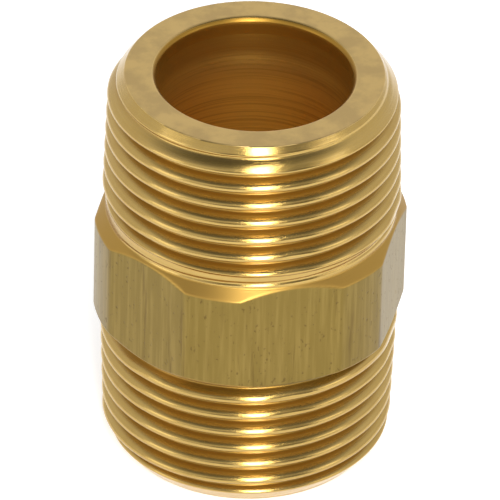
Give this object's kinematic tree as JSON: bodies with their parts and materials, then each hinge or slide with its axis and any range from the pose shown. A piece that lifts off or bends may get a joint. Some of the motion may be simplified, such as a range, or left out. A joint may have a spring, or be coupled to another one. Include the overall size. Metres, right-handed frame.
{
  "type": "hex nipple",
  "caption": "Short brass pipe nipple: a taper-threaded spigot on each end of a wrench hexagon, with a plain bore right through.",
  "frame": {"origin": "on the bore axis, halfway along the nipple; it is also the middle of the bounding box", "axes": "+Z along the bore axis towards one threaded end; two opposite wrench flats face +Y and -Y, and two hexagon corners point along +X and -X"},
  "size_m": [0.0278, 0.0264, 0.0382],
  "materials": {
    "machined_brass": "bare yellow brass, satin: turned threads, end faces and bore, drawn-bar streaks on the hexagon flats"
  },
  "bodies": {
    "root": {"nipple_body": "machined_brass"}
  },
  "joints": []
}
